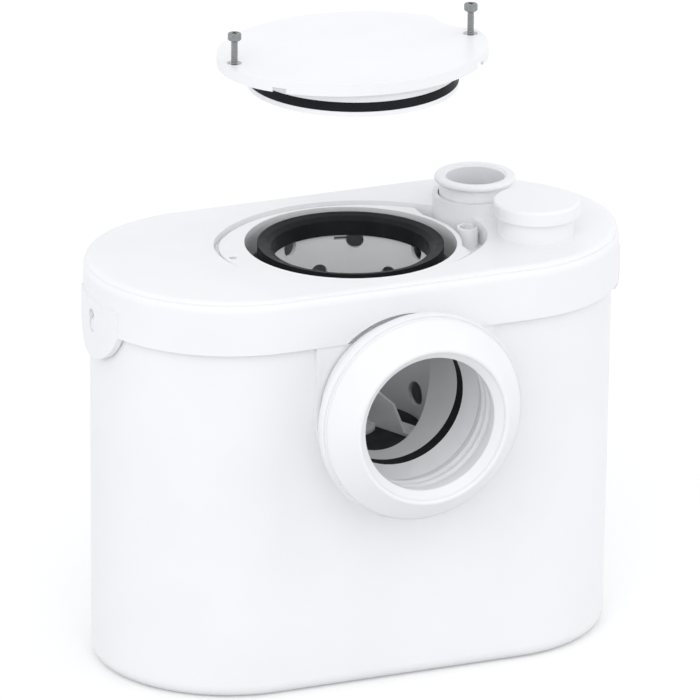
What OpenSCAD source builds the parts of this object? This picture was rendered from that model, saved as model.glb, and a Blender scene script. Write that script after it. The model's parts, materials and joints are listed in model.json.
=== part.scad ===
// Macerator toilet pump: a racetrack-plan tank under a snap-on lid, a soft cuff that takes the pan outlet,
// a perforated drum with spinning knives over a sealed motor, a pump under the motor that lifts through a
// riser and a check flap to the discharge spigot, and a pressure switch in the dry bay on the left.
// The service hatch and its two screws stand lifted clear of the lid.
// Millimetres. X runs right as seen from the pan, Y to the wall behind, Z up.
// The origin is on the floor, under the centre of the tank.

/* [Lid and tank] */
// Length of the lid over its skirt
lid_l = 346; // [330:2:370]
// Depth of the lid over its skirt
lid_d = 180; // [176:2:192]
// Height of the lid's top above the floor
lid_top = 262; // [256:1:280]
// Height of the lid's skirt
lid_skirt_h = 34; // [28:1:38]
// Wall of the lid's skirt
lid_wall = 3; // [2.5:0.5:4]
// Thickness of the lid's top
lid_t = 3.5; // [2.5:0.5:4.5]
// Rounding of the lid's top edge
lid_edge_r = 7; // [5:0.5:9]
// Depth of the rib that bears on the rim seal
lid_rib_h = 3.5; // [2.5:0.5:5]
// Thickness of the seal on the tank's rim
lid_seal_t = 3; // [2:0.5:4]
// Gap between the skirt and the tank's rim
skirt_gap = 1; // [0.5:0.25:1.5]
// Radius of the arch in the skirt over the pan inlet
skirt_arch_r = 59; // [58:0.5:62]
// Wall of the tank
tank_wall = 3; // [2.5:0.5:4]
// Thickness of the tank's floor
tank_floor_t = 4; // [3:0.5:6]
// How far the tank draws in from its rim to its base, each side
tank_draft = 2; // [1:0.5:3]
// Rounding of the tank's base edge
tank_base_r = 8; // [6:0.5:12]

/* [Snap ears] */
// Width of the ear's raised face at each end of the lid
ear_w = 58; // [50:1:64]
// How far the ear reaches below the skirt
ear_drop = 21; // [18:0.5:24]
// How far the ear's raised face reaches above the skirt's edge
ear_rise = 17; // [12:0.5:20]
// How far the ear stands proud of the skirt
ear_proud = 1; // [0.5:0.25:1.5]
// Radius of the ear's round foot
ear_r = 31; // [27:0.5:36]
// Width of the ear's window
window_w = 8; // [6:0.5:10]
// Height of the ear's window
window_h = 15; // [13:0.5:17]
// Height of the window's foot above the ear's foot
window_foot = 16.4; // [12:0.2:18]

/* [Service hatch] */
// Hatch and drum axis, from the tank's centre towards the right
hatch_x = -2; // [-4:0.5:4]
// Hatch and drum axis, from the tank's centre towards the wall
hatch_y = -2; // [-4:0.5:2]
// Length of the hatch plate
hatch_l = 172.4; // [170:0.2:175]
// Width of the hatch plate
hatch_w = 140.4; // [140:0.2:144]
// Radius of the hatch plate's ends
hatch_end_r = 58; // [52:0.5:62]
// Distance between the two hatch screws
hatch_screw_span = 158; // [154:1:162]
// Thickness of the hatch plate
hatch_plate_t = 4; // [3.5:0.25:4.5]
// Height of the rim round the hatch plate, over its top
hatch_rim_h = 7; // [6:0.25:8]
// Wall of that rim
hatch_rim_t = 1.8; // [1.5:0.1:2]
// How far the seated hatch stands proud of the lid
hatch_proud = 2.5; // [2.5:0.25:3.5]
// Width of the two slots that lift the hatch
hatch_slot_w = 9; // [6:0.5:12]
// Height of those slots
hatch_slot_h = 3; // [2:0.25:3.5]
// Direction of those slots round the plate's ends, in degrees
hatch_slot_turn = 48; // [35:1:60]
// Radius of the hatch's plug
hatch_plug_r = 65.5; // [64.5:0.25:67]
// Thickness of the plug's wall
hatch_plug_t = 6.8; // [6:0.2:7]
// Height of the plug's neck above its seal
hatch_neck_h = 9.1; // [8:0.1:11]
// Height of the hatch seal
hatch_seal_h = 6; // [4.5:0.1:7]
// Depth of the hatch seal's groove
hatch_groove = 3; // [2:0.25:4]
// Height of the plug's lower lip
hatch_lip_h = 3.4; // [2:0.1:5]
// How far the lifted hatch stands above its seat
hatch_lift = 122.7; // [60:0.1:160]

/* [Hatch screws] */
// Radius of the screw's shank
screw_r = 2.15; // [1.75:0.05:2.5]
// Length of the screw under its head
screw_l = 17; // [15:0.5:20]
// Radius of the screw's head
screw_head_r = 4.2; // [3.6:0.1:4.6]
// Height of the screw's head
screw_head_h = 4.6; // [3:0.2:5]
// Depth of the seat around each screw hole
screw_dish = 2.2; // [1.8:0.1:2.4]
// Radius of the post under the right-hand screw
seat_post_r = 6.6; // [5.8:0.1:6.7]
// Wall of that post
seat_post_wall = 1.6; // [1.2:0.1:2]
// Height of that post
seat_post_h = 12; // [8:0.5:13]
// How far the threaded inserts sit below that post's top
insert_drop = 5; // [4:0.25:6]
// Radius of the threaded insert in the lid
insert_r = 3.6; // [3.4:0.1:4.5]
// Length of the threaded insert
insert_l = 8; // [6:0.5:9]

/* [Pan inlet] */
// Height of the pan outlet's axis above the floor
inlet_z = 184; // [180:1:190]
// Bore of the drum's inlet tube and of its gasket, as a radius
inlet_r = 43.5; // [40:0.5:44.5]
// Wall of the drum's inlet tube
inlet_wall = 3; // [2:0.25:3.5]
// Radius of the raised boss behind the cuff
boss_r = 59; // [57:0.5:62]
// How far that boss stands proud of the tank
boss_proud = 3; // [2:0.5:4]
// Radius of the mouth of the tank's inlet spigot
port_r = 48; // [47.75:0.25:49]
// Wall of the inlet spigot
port_wall = 3.5; // [3:0.25:4.5]
// Length of the inlet spigot in front of the boss
port_l = 5; // [4:0.5:8]
// Depth of the spigot's funnel
funnel_l = 15; // [12:1:17]
// Width of the gasket between the spigot and the drum
gasket_w = 9; // [8:0.5:12]
// Length of the cuff in front of the boss
cuff_l = 46; // [42:1:54]
// Radius of the cuff's throat, which stretches over the pan outlet
cuff_throat_r = 43; // [41:0.5:45]
// Length of the cuff's throat
cuff_throat_l = 6; // [4:0.5:8]
// Radius of the cuff's mouth
cuff_mouth_r = 49.5; // [48.5:0.25:51]
// Depth of the cuff's mouth in front of its throat
cuff_mouth_l = 6.5; // [5:0.5:8]
// Roundness of the cuff's lip
cuff_lip_r = 1.8; // [1.4:0.1:2.4]
// Radius of the cuff's flange
cuff_flange_r = 67; // [65:0.5:69]
// Roundness of the cuff's flange
cuff_bulge_r = 9; // [7:0.5:10]
// How far the widest line of the flange stands behind the lip
cuff_flange_back = 22; // [19:0.5:25]
// Wall of the cuff's neck
cuff_neck_t = 5; // [4:0.5:7]
// Roundness of the groove round the cuff's flange
cuff_groove_r = 1.2; // [0.6:0.1:1.6]
// Place of that groove round the flange's bulge, in degrees from its widest line
cuff_groove_turn = 36; // [25:1:55]
// Height of the sealing ribs inside the cuff
cuff_rib_h = 2; // [1.5:0.25:3]

/* [Drum] */
// Bore of the drum, as a radius
drum_r = 50.5; // [49:0.25:51.5]
// Wall of the drum
drum_wall = 2.5; // [2:0.25:3.5]
// Thickness of the drum's floor
drum_floor_t = 3; // [2.5:0.25:4]
// Radius of the drum's top flange
drum_flange_r = 57.5; // [56:0.25:58]
// Thickness of the drum's top flange
drum_flange_t = 2; // [1.5:0.25:3]
// Height of the foot that stands on the motor
drum_foot_h = 3; // [2:0.5:4]
// Height of the black ring on the drum's rim
drum_seal_h = 12.5; // [11:0.5:14]
// Height of the black ring's outer wall
drum_seal_leg = 8.4; // [7.6:0.2:9.4]
// Thickness of the black ring over the drum's rim
drum_seal_crown = 4.7; // [3.5:0.1:5.5]
// How far the black ring's top falls towards its inner edge
drum_seal_fall = 1; // [0.5:0.25:1.25]
// Bore of the black ring's inner lip, as a radius
drum_seal_r = 48.8; // [47.5:0.1:49.2]
// Outside radius of the black ring
drum_seal_or = 58; // [57.5:0.1:58.2]
// Holes in each ring round the drum
drum_holes = 7; // [5:1:8]
// Diameter of the holes in the upper rings
hole_d_up = 11; // [8:0.5:11]
// Distance from the drum's rim to the middle of the first ring of holes
hole_drop = 11; // [11:0.5:14]
// Rings of upper holes
rows_up = 2; // [1:1:2]
// Diameter of the holes in the lower rings
hole_d_low = 15.5; // [11:0.5:16]
// Height of the lowest ring's middle above the drum's floor
hole_rise = 19; // [18:0.5:21]
// Rings of lower holes
rows_low = 3; // [2:1:3]
// Spacing of the upper rings
row_pitch_up = 21; // [18:0.5:22]
// Spacing of the lower rings
row_pitch_low = 23; // [20:0.5:24]
// Turn of the top ring of holes from the right-hand side, in degrees
phase_up = 12.5; // [0:0.5:30]
// Turn of the bottom ring of holes from the right-hand side, in degrees
phase_low = 11; // [0:1:30]
// Width of the two slots under the drum's rim
drum_slot_w = 10; // [6:0.5:12]
// Height of those slots
drum_slot_h = 2; // [1.5:0.25:3]
// Direction of those slots from the right-hand side, in degrees
drum_slot_turn = 73; // [66:1:80]

/* [Knives] */
// Radius of the knife carrier
carrier_r = 46; // [42:0.5:47]
// Thickness of the knife carrier
carrier_t = 4; // [3:0.5:5]
// Gap between the drum's floor and the knife carrier
carrier_gap = 2.5; // [1.5:0.25:3]
// Thickness of the knife plate
knife_t = 2; // [1.5:0.25:3]
// Radius of the knife plate's middle
knife_hub_r = 16.5; // [15.5:0.5:18]
// Width of the plate behind each fin
knife_w = 14; // [10:0.5:18]
// Reach of the plate from the axis
knife_reach = 42; // [40:0.5:44]
// Distance of the fins' faces from the axis
knife_offset = 15.5; // [14.5:0.25:16.5]
// Where the fins start, along the plate from the axis
fin_start = 4; // [2:0.5:8]
// Where the fins' sloping top ends
fin_shoulder = 24.7; // [20:0.1:28]
// Where the fins' points are
fin_tip = 35.5; // [32:0.5:38]
// Height of the fins at their start
knife_h = 26; // [22:0.5:27]
// Height of the fins where their top ends
fin_shoulder_h = 18; // [14:0.5:20]
// Direction of the first knife from the right-hand side, in degrees
knife_turn = -66; // [-80:1:-40]

/* [Motor] */
// Radius of the motor's can
motor_r = 46; // [44:0.5:50]
// Wall of the motor's can
motor_wall = 3; // [2:0.25:3.5]
// Length of the motor's can
motor_l = 66; // [62:1:68]
// Thickness of the two end covers
cover_t = 8; // [7:0.5:9]
// Radius of the shaft
shaft_r = 5; // [4:0.25:6]
// Outside radius of the ball bearings
bearing_r = 13; // [12:0.5:15]
// Width of the ball bearings
bearing_w = 8; // [7:0.5:9]
// Outside radius of the shaft seals
shaft_seal_r = 11; // [9:0.5:12]
// Length of the stator's iron
stator_l = 40; // [34:1:42]
// Bore of the stator, as a radius
stator_r = 27.2; // [25:0.2:29]
// Air gap between the stator and the rotor
air_gap = 0.6; // [0.4:0.1:1]
// Number of slots in the stator
stator_slots = 12; // [8:2:16]

/* [Pump] */
// Height of the legs under the pump
pump_leg_h = 12; // [10:0.5:14]
// Radius of each pump leg
pump_leg_r = 4; // [3:0.5:5]
// Thickness of the suction cover
suction_t = 4; // [3:0.5:5]
// Radius of the suction eye
suction_r = 15; // [13:0.5:17]
// Height of the volute
volute_h = 23; // [21:0.5:25]
// Radius of the volute's chamber
volute_r = 36; // [34:0.5:36.5]
// How far the chamber is set off towards the outlet
volute_offset = 3; // [2:0.5:4]
// Radius of the impeller
impeller_r = 30; // [26:0.5:31]
// Thickness of the impeller's back plate
impeller_t = 2.5; // [2:0.25:3]
// Height of the impeller's vanes
vane_h = 13; // [10:0.5:14]
// Number of vanes
vanes = 5; // [3:1:7]
// Thickness of the vanes
vane_t = 2; // [1.5:0.25:3]
// Bore of the pump's outlet, as a radius
outlet_r = 8.5; // [7.5:0.25:9]
// Wall of the pump's outlet
outlet_wall = 2.5; // [2:0.25:3]
// Radius of the screws through the pump
pump_screw_r = 2; // [1.5:0.25:2.25]

/* [Discharge] */
// Discharge axis, from the tank's centre towards the right
discharge_x = 96; // [94:0.5:100]
// Discharge axis, from the tank's centre towards the wall
discharge_y = 30.5; // [29:0.5:33]
// Bore of the discharge spigot, as a radius
discharge_r = 18.4; // [17:0.2:19]
// Wall of the discharge spigot
discharge_wall = 4; // [3:0.25:4.5]
// How far the spigot stands above the lid
discharge_rise = 20; // [16:0.5:26]
// Radius of the bead round the spigot's mouth
bead_r = 25.7; // [24.5:0.1:26.2]
// Height of that bead
bead_h = 4; // [3:0.25:5]
// Outside radius of the lid's collar round the spigot
collar_r = 26.7; // [26:0.1:27.4]
// Height of that collar above the lid
collar_h = 8; // [6:0.5:10]
// Bore of the riser, as a radius
riser_r = 12; // [11.5:0.25:13]
// Wall of the riser
riser_wall = 4; // [3:0.25:5]
// Length of the valve chamber
valve_l = 27; // [26:0.5:30]
// Depth of the socket that holds the spigot
socket_l = 18; // [14:0.5:22]
// Radius of the check flap
flap_r = 13; // [12:0.25:13.25]
// Thickness of the check flap
flap_t = 2; // [1.5:0.25:3]
// Radius of the hole under the check flap
seat_r = 11; // [9:0.25:11.25]
// Thickness of the valve seat
seat_t = 3; // [2:0.25:4]
// Radius of the flap's pin
flap_pin_r = 1.4; // [1:0.1:1.5]

/* [Basin inlet] */
// Basin inlet axis, from the tank's centre towards the right
basin_x = 110.5; // [108:0.5:114]
// Basin inlet axis, from the tank's centre towards the wall
basin_y = -31.5; // [-35:0.5:-30]
// Bore of the basin inlet, as a radius
basin_r = 20.2; // [19:0.1:21]
// Wall of the basin inlet
basin_wall = 3.5; // [2.5:0.25:4]
// How far the basin inlet stands above the lid
basin_rise = 19; // [16:0.5:24]
// How far the basin inlet reaches below the lid's top
basin_drop = 17; // [12:0.5:20]
// Thickness of the basin inlet's cap
cap_t = 2.7; // [2:0.1:3.5]
// Height of the cap's skirt
cap_skirt_h = 9; // [7:0.5:12]
// Rounding of the cap's top edge
cap_edge_r = 2; // [1:0.25:2.5]

/* [Pressure switch] */
// Middle of the pressure chamber, in from the lid's left end
chamber_inset = 39; // [36:0.5:42]
// Bore of the pressure chamber, as a radius
chamber_r = 12.5; // [11:0.5:14]
// Wall of the pressure chamber
chamber_wall = 2.5; // [2:0.25:3]
// Height of the pressure chamber's mouth above the tank's floor
chamber_gap = 8; // [6:0.5:14]
// Radius of the pressure chamber's flange
chamber_flange_r = 24; // [22:0.5:25]
// Thickness of the pressure chamber's flange
chamber_flange_t = 3; // [2:0.25:4]
// Thickness of the diaphragm
diaphragm_t = 1.5; // [1:0.25:2]
// Travel of the plunger
plunger_travel = 3; // [2:0.25:3]
// Height of the control tub
tub_h = 50; // [46:1:52]
// Length of the control tub
tub_l = 56; // [52:0.5:58]
// Depth of the control tub, front to back
tub_d = 76; // [74:1:80]
// Wall of the control tub
tub_wall = 2.5; // [2:0.25:3]
// Length of the microswitch
switch_l = 20; // [17:0.5:21]
// Width of the microswitch
switch_w = 10; // [8:0.5:12]
// Distance from the switch's pivot to the plunger
lever_arm = 14; // [12:0.5:16]
// Radius of the capacitor
capacitor_r = 13.5; // [11:0.5:14]
// Length of the capacitor
capacitor_l = 40; // [34:1:44]
// Radius of the cable gland's body
gland_r = 7; // [6:0.5:8]
// Bore of the cable gland, as a radius
gland_bore = 3.6; // [3:0.1:4.5]
// Width of the cable gland's outer flange
gland_lip = 2.5; // [2:0.25:3.5]

/* [Hidden] */
$fn = 96;

// Clearances
fit_gap = 0.3;
running_gap = 0.06;
screw_gap = 0.35;
plug_gap = 0.5;
hatch_rim_gap = 1;
over = 1;

// Lid and tank
half = (lid_l - lid_d) / 2;
lid_r = lid_d / 2;
skirt_z = lid_top - lid_skirt_h;
lid_under = lid_top - lid_t;
tank_rim_r = lid_r - lid_wall - skirt_gap;
tank_h = lid_under - lid_rib_h - lid_seal_t;
tank_slope = tank_draft / tank_h;
ear_z = skirt_z - ear_drop;
window_z = ear_z + window_foot;
catch_r = lid_r;
catch_drop = 3;

// Hatch seat, from the seated plate's top downwards
hatch_depth = hatch_neck_h + hatch_seal_h + hatch_lip_h;
hatch_top = lid_top + hatch_proud;
hatch_under = hatch_top - hatch_plate_t;
hatch_rim_z = hatch_top - hatch_rim_h;
recess_z = hatch_under - fit_gap;
groove_z = hatch_rim_z - fit_gap;
seat_post_top = recess_z;
well_z = seat_post_top - seat_post_h;
lid_hole_r = hatch_plug_r + plug_gap;
screw_seat_z = hatch_top - screw_dish;
insert_top = seat_post_top - insert_drop;
insert_foot = insert_top - insert_l;
screw_boss_r = insert_r + 5;
screw_boss_z = min(insert_foot, screw_seat_z - screw_l) - 3;
hatch_reach = hatch_screw_span / 2;

// Oval of four arcs: two ends on the long axis, and two sides that run on smoothly from them
oval_x = hatch_l / 2 - hatch_end_r;
oval_step = hatch_w / 2 - hatch_end_r;
oval_y = (oval_x * oval_x - oval_step * oval_step) / (2 * oval_step);
oval_side_r = hatch_w / 2 + oval_y;

// Machinery stack, from the tank's floor upwards
suction_z = tank_floor_t + pump_leg_h;
volute_z = suction_z + suction_t;
base_cover_z = volute_z + volute_h;
can_z = base_cover_z + cover_t;
top_cover_z = can_z + motor_l;
motor_top = top_cover_z + cover_t;
drum_floor_z = motor_top + drum_foot_h;
drum_inside_z = drum_floor_z + drum_floor_t;
carrier_z = drum_inside_z + carrier_gap;
knife_z = carrier_z + carrier_t;
nut_z = knife_z + knife_t;
nut_h = 8;
nut_r = shaft_r + 4;
shoulder = 2;
hub_r = bearing_r + 5;
stator_z = can_z + (motor_l - stator_l) / 2;
rotor_r = stator_r - air_gap;
stator_or = motor_r - motor_wall;
winding_h = 8;
impeller_top = base_cover_z - 2.5;
vane_z = impeller_top - impeller_t - vane_h;
impeller_hub_r = shaft_r + 4;
screw_ring_r = motor_r - 3.5;
pump_screw_head_h = 3;
outlet_z = volute_z + volute_h / 2;
outlet_or = outlet_r + outlet_wall;

// Drum
drum_seal_top = hatch_under - plug_gap;
drum_seal_foot = drum_seal_top - drum_seal_leg;
drum_top = drum_seal_top - drum_seal_crown - fit_gap;
drum_or = drum_r + drum_wall;
inlet_tube_r = inlet_r + inlet_wall;

// Inlet, as distances in front of the tank's middle plane
boss_face = tank_rim_r + boss_proud;
port_face = boss_face + port_l;
gasket_face = port_face - funnel_l;
tube_face = gasket_face - gasket_w - 2 * fit_gap;
port_or = port_r + port_wall;
cuff_back = lid_r + fit_gap;
cuff_front = boss_face + cuff_l;
cuff_seat_r = port_or + fit_gap;

// Discharge
discharge_or = discharge_r + discharge_wall;
discharge_top = lid_top + discharge_rise;
collar_bore = discharge_or + 1;
collar_z = lid_under - 4;
flange_t = 3.5;
flange_z = collar_z - fit_gap - flange_t;
socket_top = flange_z - fit_gap;
socket_z = socket_top - socket_l;
socket_r = discharge_or + fit_gap;
socket_or = socket_r + 3.5;
valve_r = discharge_r + 0.2;
valve_z = socket_z - valve_l;
seat_z = valve_z + seat_t;
riser_or = riser_r + riser_wall;
valve_or = valve_r + 3.5;
flap_z = seat_z + fit_gap;
knuckle_r = flap_pin_r + 1.1;
flap_pin_x = -(flap_r + knuckle_r - 0.9);
flap_pin_z = flap_z + knuckle_r;
knuckle_l = 8;
flap_land = 0.4;
post_t = 2.6;
ring_groove_z = socket_z + socket_l / 2;
ring_w = 2.6;

// Basin inlet
basin_or = basin_r + basin_wall;
basin_top = lid_top + basin_rise;
cap_bore = basin_or + fit_gap;
cap_or = cap_bore + 2.9;
cap_under = basin_top + fit_gap;

// Pressure switch
chamber_x = lid_l / 2 - chamber_inset;
pivot_x = lever_arm - chamber_x;
switch_x = pivot_x + 3;
tub_top = screw_boss_z - 2;
tub_z = tub_top - tub_h;
tub_x = switch_x + switch_l + plug_gap + tub_wall - tub_l / 2;
tub_floor = tub_z + tub_wall;
diaphragm_z = tub_z - diaphragm_t;
chamber_top = diaphragm_z;
chamber_or = chamber_r + chamber_wall;
plunger_z = tub_z + fit_gap;
plunger_r = 8;
plunger_top = tub_floor + 13;
tub_tab = 9;
tub_tab_t = 3;
lever_t = 1;
pivot_z = plunger_top + fit_gap + lever_t / 2;
pivot_r = 1;
lever_w = 6;
small_screw_r = 1.5;
small_screw_l = 6;
small_head_h = 2;
post_r = 5;
gland_z = skirt_z - gland_r - gland_lip - 5;
gland_x = gland_r + gland_lip + 1 - half;
gland_wall_y = tank_rim_r - tank_draft + tank_slope * gland_z;

// Plan of the body swept round its two ends: children are the section, x outwards and y upwards
module racetrack() {
    for (side = [1, -1])
        translate([side * half, 0, 0])
            rotate([0, 0, -90 * side])
                rotate_extrude(angle = 180) children();
    for (side = [0, 1])
        mirror([0, side, 0])
            translate([-half, 0, 0])
                rotate([90, 0, 90])
                    linear_extrude(2 * half) children();
}

// Half section of the drafted tank, drawn in by inset, with a rounded lower corner
module tank_section(inset, foot, top, corner) {
    lean = sqrt(1 + tank_slope * tank_slope);
    foot_x = tank_rim_r - tank_draft - inset;
    mid_x = foot_x + tank_slope * (foot + corner) - corner * lean;
    mid_z = foot + corner;
    touch = [mid_x + corner / lean, mid_z - corner * tank_slope / lean];
    polygon([[0, foot], [mid_x, foot], [mid_x, mid_z], touch, [foot_x + tank_slope * top, top], [0, top]]);
    translate([mid_x, mid_z]) circle(corner);
}

// Half section with a rounded upper corner
module lid_section(r, foot, top, corner) {
    polygon([[0, foot], [r, foot], [r, top - corner], [r - corner, top - corner], [r - corner, top], [0, top]]);
    translate([r - corner, top - corner]) circle(corner);
}

// Rectangle between two radii and two heights
module band(r_in, r_out, foot, top) {
    translate([r_in, foot]) square([r_out - r_in, top - foot]);
}

// Straight outer side between two circles of a section, filled back to their centres
module tangent_side(a, a_r, b, b_r) {
    run = b - a;
    turn = atan2(run[1], run[0]) - acos((a_r - b_r) / norm(run));
    normal = [cos(turn), sin(turn)];
    polygon([a, a + a_r * normal, b + b_r * normal, b]);
}

// Ring about the Z axis
module ring(r_in, r_out, foot, h) {
    translate([0, 0, foot])
        rotate_extrude() translate([r_in, 0]) square([r_out - r_in, h]);
}

module disc(r, foot, h) {
    translate([0, 0, foot]) cylinder(r = r, h = h);
}

module at_hatch() {
    translate([hatch_x, hatch_y, 0]) children();
}

module at_discharge() {
    translate([discharge_x, discharge_y, 0]) children();
}

module at_basin() {
    translate([basin_x, basin_y, 0]) children();
}

module at_chamber() {
    translate([-chamber_x, 0, 0]) children();
}

// The inlet's own axis: local Z runs out through the front of the tank
module at_inlet() {
    translate([hatch_x, 0, inlet_z]) rotate([90, 0, 0]) children();
}

// Hatch outline, grown by a distance
module oval(grow) {
    end_r = hatch_end_r + grow;
    touch = oval_x + end_r * oval_x / norm([oval_x, oval_y]);
    for (side = [1, -1]) translate([side * oval_x, 0]) circle(end_r);
    intersection() {
        translate([0, oval_y]) circle(oval_side_r + grow);
        translate([0, -oval_y]) circle(oval_side_r + grow);
        square([2 * touch, 2 * hatch_w], center = true);
    }
}

// Band round the hatch outline between two distances from it
module oval_band(inner, outer) {
    difference() {
        oval(outer);
        oval(inner);
    }
}

// Space round the right-hand post, between the lid's sleeve and the hatch outline
module post_well(grow) {
    difference() {
        intersection() {
            oval(grow);
            translate([lid_hole_r - lid_wall - grow, -hatch_w / 2]) square([hatch_l, hatch_w]);
        }
        circle(lid_hole_r + lid_wall);
    }
}

// Clear round the discharge collar, in the hatch's own plan
module collar_plan(r) {
    translate([discharge_x - hatch_x, discharge_y - hatch_y]) circle(r);
}

// What is cut from under the skirt beside the ears' round feet: x across, y up
module skirt_cut() {
    difference() {
        band(0, lid_r + ear_proud + over, ear_z - over, skirt_z);
        translate([0, ear_z + ear_r]) circle(ear_r);
    }
}

// The ear's window, drawn in by inset
module ear_window(inset) {
    end = window_w / 2;
    r = end - inset;
    for (z = [window_z + end, window_z + window_h - end]) translate([0, z]) circle(r);
    translate([-r, window_z + end]) square([2 * r, window_h - window_w]);
}

// Runs a plan drawn across and up through one end of the body
module through_end(side) {
    mirror([side < 0 ? 1 : 0, 0, 0])
        translate([half, 0, 0]) rotate([90, 0, 90]) linear_extrude(lid_r + ear_proud + over) children();
}

// Raised face of the ear
module ear_pad(side) {
    intersection() {
        translate([side * half, 0, 0]) disc(lid_r + ear_proud, ear_z, ear_drop + ear_rise);
        through_end(side) band(-ear_w / 2, ear_w / 2, ear_z - over, lid_top);
    }
}

// Catch on the tank's end: an underside that holds the window's foot, and a lead-in ramp above
module catch(side) {
    top = window_z + window_h - catch_drop;
    face = half + catch_r;
    root_x = half + tank_rim_r - tank_wall;
    intersection() {
        mirror([side < 0 ? 1 : 0, 0, 0])
            translate([0, window_w / 2, 0]) rotate([90, 0, 0]) linear_extrude(window_w)
                polygon([[root_x, window_z], [face, window_z], [face, (window_z + top) / 2],
                    [half + tank_rim_r, top], [root_x, top]]);
        through_end(side) ear_window(fit_gap);
    }
}

// Boss behind the cuff: round below, straight-sided up to the lid's skirt
module boss_plan() {
    top = skirt_z - fit_gap - inlet_z;
    intersection() {
        circle(boss_r);
        translate([-boss_r, -boss_r]) square([2 * boss_r, boss_r]);
    }
    translate([-boss_r, 0]) square([2 * boss_r, top]);
}

module tank() {
    color("whitesmoke")
    difference() {
        union() {
            difference() {
                union() {
                    racetrack() tank_section(0, 0, tank_h, tank_base_r);
                    at_inlet() translate([0, 0, tank_rim_r - 2 * tank_wall])
                        linear_extrude(boss_face - tank_rim_r + 2 * tank_wall) boss_plan();
                    for (side = [1, -1]) catch(side);
                }
                racetrack() tank_section(tank_wall, tank_floor_t, tank_h + over, tank_base_r - tank_wall);
            }
            at_inlet() disc(port_or, tube_face, port_face - tube_face);
        }
        at_inlet() translate([0, 0, gasket_face])
            cylinder(r1 = inlet_r, r2 = port_r, h = funnel_l);
        at_inlet() disc(inlet_r, gasket_face - over, funnel_l);
        at_inlet() disc(inlet_tube_r + 2 * fit_gap + over, tube_face - over, gasket_face - tube_face + over);
        translate([gland_x, gland_wall_y, gland_z]) rotate([-90, 0, 0])
            disc(gland_r + fit_gap, -2 * tank_wall, 3 * tank_wall);
    }
}

module lid() {
    color("white")
    difference() {
        union() {
            difference() {
                union() {
                    racetrack() lid_section(lid_r, ear_z, lid_top, lid_edge_r);
                    for (side = [1, -1]) ear_pad(side);
                }
                racetrack() lid_section(lid_r - lid_wall, ear_z - over, lid_under, lid_edge_r - lid_wall);
                for (side = [0, 1]) mirror([0, side, 0])
                    translate([-lid_l, 0, 0]) rotate([90, 0, 90]) linear_extrude(2 * lid_l) skirt_cut();
            }
            racetrack() band(tank_rim_r - tank_wall, lid_r - lid_wall / 2, lid_under - lid_rib_h, lid_top - lid_t / 2);
            at_hatch() {
                translate([0, 0, groove_z - lid_t]) linear_extrude(lid_top - groove_z + lid_t)
                    oval(hatch_rim_gap + lid_wall);
                translate([0, 0, well_z - lid_t]) linear_extrude(groove_z - well_z)
                    post_well(hatch_rim_gap + lid_wall);
                disc(lid_hole_r + lid_wall, hatch_under - hatch_depth, hatch_depth);
                for (side = [1, -1]) translate([side * hatch_reach, 0, 0])
                    disc(screw_boss_r, screw_boss_z, groove_z - screw_boss_z);
            }
            at_discharge() disc(collar_r, collar_z, lid_top + collar_h - collar_z);
            at_basin() disc(basin_or, lid_top - basin_drop, basin_drop + basin_rise);
            for (y = [1, -1]) translate([tub_x, y * (tub_d / 2 + tub_tab / 2), 0])
                disc(post_r, tub_top, lid_under - tub_top + over);
        }
        at_hatch() {
            translate([0, 0, recess_z]) linear_extrude(lid_top - recess_z + over) difference() {
                oval(hatch_rim_gap);
                collar_plan(collar_r);
            }
            translate([0, 0, groove_z]) linear_extrude(lid_top - groove_z) difference() {
                oval_band(-hatch_rim_t - plug_gap, hatch_rim_gap);
                collar_plan(collar_r);
            }
            translate([0, 0, well_z]) linear_extrude(lid_top - well_z) difference() {
                post_well(hatch_rim_gap);
                collar_plan(collar_r);
                translate([hatch_reach, 0]) circle(seat_post_r);
            }
            translate([hatch_reach, 0, 0]) {
                disc(seat_post_r, seat_post_top, lid_top - seat_post_top);
                disc(seat_post_r - seat_post_wall, insert_top, lid_top - insert_top);
            }
            disc(lid_hole_r, hatch_under - 2 * hatch_depth, 3 * hatch_depth);
            for (side = [1, -1]) translate([side * hatch_reach, 0, 0]) {
                disc(screw_r + screw_gap, screw_boss_z + 2, lid_top - screw_boss_z);
                disc(insert_r, insert_foot, insert_l);
            }
        }
        at_discharge() disc(collar_bore, collar_z - over, lid_top + collar_h - collar_z + 2 * over);
        at_discharge() disc(socket_or + fit_gap, screw_boss_z, flange_z + flange_t + fit_gap - screw_boss_z);
        at_basin() disc(basin_r, lid_top - basin_drop - over, basin_drop + basin_rise + 2 * over);
        for (side = [1, -1]) through_end(side) ear_window(0);
        at_inlet() disc(skirt_arch_r, tank_rim_r, lid_r - tank_rim_r + over);
        for (y = [1, -1]) translate([tub_x, y * (tub_d / 2 + tub_tab / 2), 0])
            disc(small_screw_r + screw_gap, tub_top - over, small_screw_l + 2 * over);
    }
}

module lid_seal() {
    color("dimgray")
    racetrack() band(tank_rim_r - tank_wall + fit_gap, tank_rim_r - fit_gap, tank_h, tank_h + lid_seal_t);
}

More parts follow.
